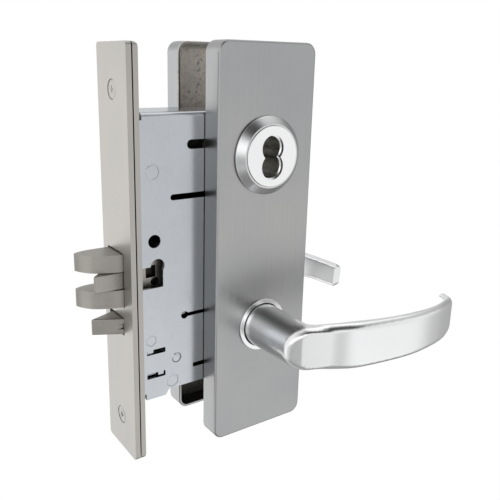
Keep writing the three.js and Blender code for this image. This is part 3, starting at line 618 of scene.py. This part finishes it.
def trim_shell(side):
    """The hollow cover: from its inner face round the rim to its outer face."""
    inner_face = TRIM_FACE - TRIM_WALL
    profile = [(TRIM_WALL + INNER_CORNER * (1 - math.sin(t)), inner_face - INNER_CORNER * (1 - math.cos(t)))
               for t in np.linspace(0, math.pi / 2, 6)]
    profile += [(TRIM_WALL, TRIM_RIM + 0.3), (TRIM_WALL - 0.3, TRIM_RIM),
                (0.3, TRIM_RIM), (0, TRIM_RIM + 0.3)]
    profile += [(TRIM_EDGE * (1 - math.cos(t)), TRIM_FACE - TRIM_EDGE * (1 - math.sin(t)))
                for t in np.linspace(0, math.pi / 2, 7)]
    return loft([trim_loop(inset, side * away) for inset, away in profile])


def two_faced(piece, inner_material, side):
    """Gives the inside of a hollow cover its raw material, which carries painted shade."""
    piece.data.materials.append(inner_material)
    middle = (trim_low + trim_high) / 2 * MM
    for face in piece.data.polygons:
        from_middle = face.center - middle
        across = face.normal.x * from_middle.x + face.normal.z * from_middle.z
        below_face = abs(face.center.y) < (TRIM_FACE - TRIM_WALL / 2) * MM
        above_rim = abs(face.center.y) > (TRIM_RIM + 0.05) * MM
        if above_rim and below_face and (across < 0 or side * face.normal.y < -0.5):
            face.material_index = 1


def escutcheon(side, label, holes):
    reach = sorted((side * (TRIM_RIM - 1), side * (TRIM_FACE + 2)))
    cutters = [rod("y", AXIS_X, z, *reach, radius) for z, radius in holes]
    piece = shaped(f"{label}_escutcheon_fine", trim_shell(side), cutters, 0.15, 2)
    show(piece, "lock_case", "trim_satin", satin_chrome, f"{label}_escutcheon")
    # The outside escutcheon's inside gets the darker copy, which is painted shade.
    two_faced(piece, painted_shade_cast if side < 0 else raw_cast_with_painted_shade, side)
    return piece


BUSHING_BORE = 11.8
BUSHING_SLEEVE = 12.9
BUSHING_FLANGE = 14.2
LEVER_HOLE = (LEVER_Z, BUSHING_SLEEVE + 0.3)


def bushing(side, label):
    face = TRIM_FACE + 0.1
    profile = [(BUSHING_BORE, 15.5), (BUSHING_SLEEVE, 15.5), (BUSHING_SLEEVE, face),
               (BUSHING_FLANGE, face), (BUSHING_FLANGE, 25.5), (14.05, 25.75), (12.1, 25.9),
               (BUSHING_BORE, 25.65)]
    body = turned("y", AXIS_X, LEVER_Z, [(radius, side * y) for radius, y in profile], hollow=True)
    piece = shaped(f"{label}_lever_bushing_fine", body, (), 0.12, 2)
    return show(piece, "lock_case", "lever_satin", bright_chrome, f"{label}_lever_bushing")


def trim_screw(label, z):
    seat = TRIM_FACE + 0.3
    profile = [(2.3, 3), (2.3, seat), (4.5, seat), (4.5, seat + 0.7), (4.1, seat + 1.3), (3.2, seat + 1.7),
               (1.8, seat + 1.95), (0.6, seat + 2)]
    recess = cross_recess("y", AXIS_X, z, seat + 2, -1.3, 4.4, 0.85)
    piece = shaped(f"trim_screw_{label}_fine", turned("y", AXIS_X, z, profile), recess, 0.1, 2)
    return show(piece, "lock_case", "trim_satin", satin_chrome, f"trim_screw_{label}")


# ---- cylinder -----------------------------------------------------------------------

housing_low, housing_high = corners("cylinder_housing")
CYLINDER_RADIUS = 14.6
CORE_LOBES = (3.9, -5.0)
CORE_RADIUS = 6.4
CORE_LEDGE = 0.5               # how far the inner bore stands in behind the face
CORE_LEDGE_DEPTH = 2.2


def trim_ring():
    face, back = ring_low.y, ring_high.y
    profile = [(14.9, back), (19.1, back), (19.25, back - 0.15), (19.25, back - 0.75), (19.0, back - 1.05),
               (15.9, face + 0.12), (15.6, face), (14.97, face), (14.9, face + 0.08)]
    body = turned("y", AXIS_X, CYLINDER_Z, profile, hollow=True)
    piece = shaped("trim_ring_fine", body, (), 0.0)
    return show(piece, "lock_case", "cylinder_chrome", ring_chrome, "trim_ring")


def core_bores(radius, start, end):
    return [rod("y", AXIS_X, CYLINDER_Z + dz, start, end, radius) for dz in CORE_LOBES]


def cylinder_housing():
    face, end = housing_low.y, housing_high.y
    radius = CYLINDER_RADIUS + 0.2
    profile = [(radius - 0.35, face), (radius - 0.1, face + 0.08), (radius, face + 0.3), (radius, end)]
    body = turned("y", AXIS_X, CYLINDER_Z, profile)
    prongs = [rod("y", AXIS_X + dx, CYLINDER_Z + CORE_LOBES[0], -6, end + 1, 1.6) for dx in (-2.6, 2.6)]
    cutters = [*core_bores(CORE_RADIUS, face - 1, face + CORE_LEDGE_DEPTH),
               *core_bores(CORE_RADIUS - CORE_LEDGE, face, -5), *prongs]
    piece = shaped("cylinder_housing_fine", body, cutters, 0.22)
    show(piece, "lock_case", "cylinder_chrome", turned_chrome, "cylinder_housing")
    piece.data.materials.append(bore_metal)
    for surface in piece.data.polygons:
        centre = surface.center / MM
        away = math.hypot(centre.x - AXIS_X, centre.z - CYLINDER_Z)
        if away < CYLINDER_RADIUS - 1 and centre.y > face + CORE_LEDGE_DEPTH + 0.1:
            surface.material_index = 1
    return piece


# ---- levers -------------------------------------------------------------------------

# Plan of the grip: distance along the lever, and away from the door's centre plane.
ELBOW = [(-14, 57), (-3.8, 62.2)]
GRIP_FRONT = [(-3.8, 62.2), (10, 67.5), (26, 73.7), (55, 78.35), (77, 77.1), (92, 73)]
GRIP_BACK = [(86, 70.5), (69, 73), (44, 71), (20, 64.6), (8, 58.6), (0, 54)]
SHORT_TIP = [(101, 67.2), (106.2, 58.5), (102.3, 57.2), (97.6, 65.3)]
LONG_TIP = [(101.5, 65.8), (106.4, 50), (107.9, 28.4), (102.3, 28), (100.4, 50), (95.8, 63.8)]
# Half the grip's height along its length: it starts inside the round neck and swells out of it.
GRIP_SIDE = ((0, 4, 6, 8, 12, 20, 60, 88, 98, 106, 120),
             (9.3, 10.4, 11.1, 11.6, 12, 12.2, 11.5, 11, 9.4, 7.8, 7))
GRIP_START = 0
GRIP_ROUNDING = ((0, 26), (4.5, 3.2))   # radius of the grip's edges along its length
NECK_START = 17
NECK_RADII = ((30, 50), (11.4, 10.8))
NECK_BLEND = 4.0
CREASE = ((4, 10), (1.8, 3.5))  # radius where the round neck meets the grip's front, by height
SOCKET_HALF = 4.27             # the square hole for the spindle
SOCKET_END = 46
SET_SCREW_AWAY = 34
SET_SCREW_HOLE = 2.5
LEVER_STEP = 0.8               # grid on which the lever's surface is sampled
CURVE_STEPS = 14               # segments between two points of the grip's plan


def polygon_distance(polygon, spots):
    """Distance from each spot to a closed polygon, negative inside it."""
    ends = np.roll(polygon, -1, axis=0)
    nearest = np.full(len(spots), 1e9)
    inside = np.zeros(len(spots), bool)
    for start, end in zip(polygon, ends):
        side = end - start
        offset = spots - start
        share = np.clip(offset @ side / (side @ side), 0, 1)
        gap = offset - share[:, None] * side
        nearest = np.minimum(nearest, (gap ** 2).sum(1))
        crosses = (start[1] > spots[:, 1]) != (end[1] > spots[:, 1])
        rise = side[1] if side[1] else 1e-12
        inside ^= crosses & (spots[:, 0] < start[0] + side[0] * (spots[:, 1] - start[1]) / rise)
    return np.where(inside, -1, 1) * np.sqrt(nearest)


def smooth_max(first, second, width):
    """The larger of two distances, rounded where they are close: a rounded edge."""
    return np.maximum(first, second) + np.maximum(width - np.abs(first - second), 0) ** 2 / (4 * width)


def round_max(first, second, radius):
    """The larger of two distances, with their common edge rounded to a radius."""
    near = np.hypot(np.maximum(first + radius, 0), np.maximum(second + radius, 0)) - radius
    return near + np.minimum(np.maximum(first, second) + radius, 0)


def smooth_min(first, second, width):
    return -smooth_max(-first, -second, width)


def lever_field(tip):
    """Distance to the lever's surface, negative inside it, at (along, away, up) points."""
    ends = len(tip) // 2
    front = ELBOW + spline([*GRIP_FRONT, *tip[:ends]], CURVE_STEPS)[1:]
    back = spline([*tip[ends:], *GRIP_BACK], CURVE_STEPS)
    plan = np.array(front + back)
    behind_front = np.array([(-14, 0), *front, (150, 0)])

    def field(spots):
        along, away, up = spots.T
        flat = spots[:, :2]
        half = np.interp(along, *GRIP_SIDE)
        edge = np.interp(along, *GRIP_ROUNDING)
        grip = round_max(polygon_distance(plan, flat), np.abs(up) - half, edge)
        grip = smooth_max(grip, GRIP_START - along, 2.0)
        radius = np.interp(away, *NECK_RADII)
        past_front = polygon_distance(behind_front, flat)
        neck = round_max(np.hypot(along, up) - radius, past_front, np.interp(np.abs(up), *CREASE))
        body = np.maximum(smooth_min(neck, grip, NECK_BLEND), past_front)
        socket = np.maximum(np.maximum(np.abs(along), np.abs(up)) - SOCKET_HALF, away - SOCKET_END)
        screw_hole = np.maximum(np.hypot(along, away - SET_SCREW_AWAY) - SET_SCREW_HOLE, up + SOCKET_HALF)
        return np.maximum(np.maximum(body, NECK_START - away), np.maximum(-socket, -screw_hole))
    return field


def field_surface(field, low, high, step):
    """Vertices and quads of the surface where the field is zero."""
    axes = [np.arange(a, b + step, step) for a, b in zip(low, high)]
    grid = np.stack(np.meshgrid(*axes, indexing="ij"), -1)
    values = field(grid.reshape(-1, 3)).reshape(grid.shape[:3])
    shape = np.array(values.shape) - 1

    def cell(array, i, j, k):
        return array[i:i + shape[0], j:j + shape[1], k:k + shape[2]]

    total = np.zeros((*shape, 3))
    count = np.zeros(shape)
    offsets = [(i, j, k) for i in (0, 1) for j in (0, 1) for k in (0, 1)]
    for start in offsets:
        for axis in range(3):
            if start[axis]:
                continue
            end = tuple(s + (a == axis) for a, s in enumerate(start))
            v0, v1 = cell(values, *start), cell(values, *end)
            crossed = (v0 < 0) != (v1 < 0)
            share = np.where(crossed, v0 / np.where(crossed, v0 - v1, 1), 0)[..., None]
            spot = cell(grid, *start) + share * (cell(grid, *end) - cell(grid, *start))
            total += np.where(crossed[..., None], spot, 0)
            count += crossed
    used = count > 0
    index = np.full(shape, -1)
    index[used] = np.arange(used.sum())
    vertices = total[used] / count[used][:, None]
    quads = []
    for axis in range(3):
        first, second = [a for a in range(3) if a != axis]
        ahead = np.roll(values, -1, axis=axis)
        crossed = (values < 0) != (ahead < 0)
        crossed[tuple(slice(-1, None) if a == axis else slice(None) for a in range(3))] = False
        spots = np.argwhere(crossed)
        spots = spots[(spots[:, first] > 0) & (spots[:, second] > 0)]
        spots = spots[(spots[:, first] < shape[first]) & (spots[:, second] < shape[second])]
        step_1, step_2 = np.eye(3, dtype=int)[first], np.eye(3, dtype=int)[second]
        around = [spots - step_1 - step_2, spots - step_2, spots, spots - step_1]
        quad = np.stack([index[tuple(c.T)] for c in around], 1)
        outward = (values[tuple(spots.T)] < 0) == (axis != 1)
        quads.append(np.where(outward[:, None], quad, quad[:, ::-1]))
    return vertices, np.vstack(quads)


def settle(field, vertices):
    """Moves each vertex onto the surface of the field."""
    probe = 0.02
    for _ in range(3):
        here = field(vertices)
        slope = np.stack([(field(vertices + probe * axis) - here) / probe for axis in np.eye(3)], 1)
        size = np.maximum((slope ** 2).sum(1), 0.2)
        move = np.clip(-here / size, -0.5, 0.5)
        vertices = vertices + move[:, None] * slope
    return vertices


INSIDE_DROOP = 4.2


def lever(side, label, tip, droop):
    field = lever_field(tip)
    low = (-14, NECK_START - 1.3, -14)
    high = (max(p[0] for p in tip) + 3, 80, 14)
    vertices, quads = field_surface(field, low, high, LEVER_STEP)
    vertices = settle(field, vertices)
    turn = math.radians(droop)
    along, away, up = vertices.T
    placed = np.stack([AXIS_X + along * math.cos(turn) + up * math.sin(turn), side * away,
                       LEVER_Z - along * math.sin(turn) + up * math.cos(turn)], 1)
    if side < 0:
        quads = quads[:, ::-1]
    data = bpy.data.meshes.new(f"{label}_lever_fine")
    data.from_pydata(placed.tolist(), [], quads.tolist())
    data.update()
    piece = fine_object(f"{label}_lever_fine", data)
    return show(piece, f"{label}_lever_set", "lever_satin", bright_chrome, f"{label}_lever")


# ---- springs ------------------------------------------------------------------------

def coil(name, axis, a, b, start, end, radius, wire, turns):
    """A closed coil of round wire about an axis."""
    steps = int(turns * 28)
    sides = 10
    loops = []
    for i in range(steps + 1):
        share = i / steps
        angle = 2 * math.pi * turns * share
        ease = share + 0.035 * math.sin(2 * math.pi * share)
        along = start + wire / 2 + (end - start - wire) * ease
        loop = []
        for j in range(sides):
            around = 2 * math.pi * j / sides
            reach = radius + wire / 2 * math.cos(around)
            spot = (a + reach * math.cos(angle), b + reach * math.sin(angle))
            loop.append(point(axis, *spot, along + wire / 2 * math.sin(around)))
        loops.append(loop)
    return shaped(name, loft(loops), (), 0.0)


def springs():
    latch_spring = corners("latch_spring")
    aux_spring = corners("aux_spring")
    for (low, high), name, joint, wire, turns in (
            (latch_spring, "latch_spring", "latch_slide", 1.2, 8),
            (aux_spring, "aux_spring", "aux_slide", 0.8, 9)):
        radius = (high.y - low.y) / 2 - wire / 2
        middle = ((low.y + high.y) / 2, (low.z + high.z) / 2)
        piece = coil(f"{name}_coil", "x", *middle, low.x, high.x, radius, wire, turns)
        piece.modifiers.clear()
        show(piece, "lock_case", "spring_steel", spring_wire, name)
        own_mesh(piece)
    for label in ("outside", "inside"):
        low, high = corners(f"{label}_return_spring")
        piece = coil(f"{label}_return_spring_coil", "y", AXIS_X, LEVER_Z, low.y, high.y,
                     (high.x - low.x) / 2 - 0.8, 1.6, 3)
        show(piece, "lock_case", "spring_steel", spring_wire, f"{label}_return_spring")


# ---- remaining CAD nodes ------------------------------------------------------------

def dress(name, material, edge=0.25):
    """Keeps a CAD node's shape, and gives it a material and slightly rounded edges."""
    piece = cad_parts[name]
    piece.data.materials.clear()
    piece.data.materials.append(material)
    rounding = piece.modifiers.new("edge", "BEVEL")
    rounding.width = edge * MM
    rounding.segments = 2
    rounding.limit_method = "ANGLE"
    rounding.angle_limit = math.radians(40)
    rounding.harden_normals = False


def dress_mechanism():
    for name in ("latch_guide", "aux_spring_stop"):
        dress(name, zinc_plate)
    for name in ("case_screw_top", "case_screw_bottom", "latch_tail", "antifriction_pin", "deadlock_lever",
                 "deadlock_pivot", "outside_hub", "inside_hub", "retractor", "lock_slide",
                 "trim_post_upper", "trim_post_lower", "cylinder_cam", "cam_screw_left", "cam_screw_right",
                 "cylinder_set_screw", "outside_spindle", "inside_spindle", "outside_lever_set_screw",
                 "inside_lever_set_screw"):
        dress(name, dull_steel)


# ---- studio -------------------------------------------------------------------------

FLOOR_Z = -330


def floor():
    data = bpy.data.meshes.new("floor")
    half = 3.0
    square = [(-half, -half, 0), (half, -half, 0), (half, half, 0), (-half, half, 0)]
    data.from_pydata(square, [], [(0, 1, 2, 3)])
    piece = bpy.data.objects.new("floor", data)
    piece.location.z = FLOOR_Z * MM
    bpy.context.scene.collection.objects.link(piece)
    pale = bpy.data.materials.new("pale_floor")
    pale.use_nodes = True
    shader = pale.node_tree.nodes["Principled BSDF"]
    shader.inputs["Base Color"].default_value = (0.2, 0.2, 0.2, 1)
    shader.inputs["Roughness"].default_value = 1.0
    shader.inputs["Specular IOR Level"].default_value = 0.0
    shader.inputs["Emission Color"].default_value = (1, 1, 1, 1)
    shader.inputs["Emission Strength"].default_value = 0.85
    data.materials.append(pale)
    piece.visible_glossy = False


# What the metal sees of the studio: a direction, how wide that part is, and how bright.
# Between these directions the light is blended smoothly.
STUDIO = [
    ((0.50, -0.83, -0.22), 13, 0.76),
    ((0.47, -0.74, -0.50), 13, 1.25),
    ((0.62, -0.78, 0.05), 10, 1.05),
    ((0.03, -0.90, -0.45), 11, 1.12),
    ((-0.62, -0.72, 0.22), 12, 1.75),
    ((-0.68, -0.70, -0.20), 9, 0.40),
    ((-0.50, -0.79, -0.37), 7, 1.00),
    ((-0.23, -0.87, -0.43), 7.5, 0.0),
    ((-0.91, -0.04, -0.42), 14, 1.10),
    ((-0.42, 0.88, -0.15), 14, 1.50),
    ((-0.36, 0.80, -0.48), 14, 1.90),
    ((-0.74, 0.59, -0.33), 9, 0.0),
    ((0.93, 0.05, -0.37), 14, 0.50),
    ((0.88, 0.44, -0.20), 14, 0.35),
    ((0.95, 0.20, 0.22), 12, 0.35),
    ((0.60, -0.30, 0.70), 12, 0.60),
    ((0.44, 0.02, 0.90), 10, 1.80),
    ((0.66, 0.40, 0.64), 11, 0.70),
    ((-0.20, -0.66, 0.72), 14, 0.0),
    ((0.60, 0.00, -0.80), 14, 0.22),
    ((-0.15, -0.46, -0.88), 14, 0.30),
    ((0.0, 0.6, 0.8), 25, 0.80),
    ((-0.70, 0.72, 0.06), 8, 1.60),
    ((-0.9, 0.0, 0.5), 20, 1.00),
    ((0.3, 0.95, 0.0), 25, 0.80),
    ((0.0, 0.4, -0.92), 25, 0.50),
]
BACKGROUND = 1.0


def surroundings():
    """A white background for the camera, and a studio of soft light for the metal to reflect."""
    world = bpy.data.worlds.new("studio")
    bpy.context.scene.world = world
    world.use_nodes = True
    tree = world.node_tree
    tree.nodes.clear()
    direction = node(tree, "ShaderNodeTexCoord").outputs["Generated"]

    def maths(operation, first, second):
        return node(tree, "ShaderNodeMath", {0: first, 1: second}, operation=operation).outputs[0]

    total, light = 0.0, 0.0
    for axis, width, bright in STUDIO:
        facing = node(tree, "ShaderNodeVectorMath", {0: direction, 1: Vector(axis).normalized()},
                      operation="DOT_PRODUCT").outputs["Value"]
        sharp = 1 / math.radians(width) ** 2
        share = maths("EXPONENT", maths("MULTIPLY", maths("SUBTRACT", facing, 1.0), sharp), 0.0)
        total = maths("ADD", share, total)
        light = maths("ADD", maths("MULTIPLY", share, bright), light)
    strength = maths("DIVIDE", light, total)
    studio = node(tree, "ShaderNodeBackground", {"Color": (1, 1, 1, 1), "Strength": strength})
    white = node(tree, "ShaderNodeBackground", {"Color": (1, 1, 1, 1), "Strength": BACKGROUND})
    to_camera = node(tree, "ShaderNodeLightPath").outputs["Is Camera Ray"]
    mixed = node(tree, "ShaderNodeMixShader", {0: to_camera, 1: studio.outputs[0], 2: white.outputs[0]})
    node(tree, "ShaderNodeOutputWorld", {"Surface": mixed.outputs[0]})


CAMERA_SPOT = (-115.5, -267.8, 93.1)
CAMERA_AZIMUTH = -34.53
CAMERA_ELEVATION = 15.38
CAMERA_ROLL = 1.16
CAMERA_LENS = 44.86
CAMERA_SHIFT = 0.03


def camera():
    azimuth, elevation = math.radians(CAMERA_AZIMUTH), math.radians(CAMERA_ELEVATION)
    back = Vector((math.sin(azimuth) * math.cos(elevation), -math.cos(azimuth) * math.cos(elevation),
                   math.sin(elevation)))
    right = Vector((0, 0, 1)).cross(back).normalized()
    level = Matrix((right, back.cross(right), back)).transposed()
    rolled = Matrix.Rotation(math.radians(CAMERA_ROLL), 3, back) @ level
    data = bpy.data.cameras.new("camera")
    data.lens = CAMERA_LENS
    data.shift_x, data.shift_y = CAMERA_SHIFT, -CAMERA_SHIFT
    data.clip_start, data.clip_end = 0.01, 20
    made = bpy.data.objects.new("camera", data)
    made.matrix_world = Matrix.Translation(Vector(CAMERA_SPOT) * MM) @ rolled.to_4x4()
    bpy.context.scene.collection.objects.link(made)
    bpy.context.scene.camera = made


# ---- everything ---------------------------------------------------------------------

bpy.context.scene.view_settings.view_transform = "Standard"
camera()
surroundings()
floor()

front_plate()
inner_front()
for screw_label, screw_z in SCREW_Z.items():
    front_screw(screw_label, screw_z)
case_body()
case_tab()
case_cover()
for post_name in POSTS:
    post(post_name)
lower_bracket()
latch_head()
antifriction_tongue()
aux_latch()
escutcheon(-1, "outside", [(CYLINDER_Z, CYLINDER_RADIUS + 0.4), LEVER_HOLE])
escutcheon(1, "inside", [LEVER_HOLE, *[(z, 2.7) for z in TRIM_POSTS.values()]])
bushing(-1, "outside")
bushing(1, "inside")
for screw_label, screw_z in TRIM_POSTS.items():
    trim_screw(screw_label, screw_z)
trim_ring()
cylinder_housing()
lever(-1, "outside", SHORT_TIP, 0)
lever(1, "inside", LONG_TIP, INSIDE_DROOP)
springs()
dress_mechanism()
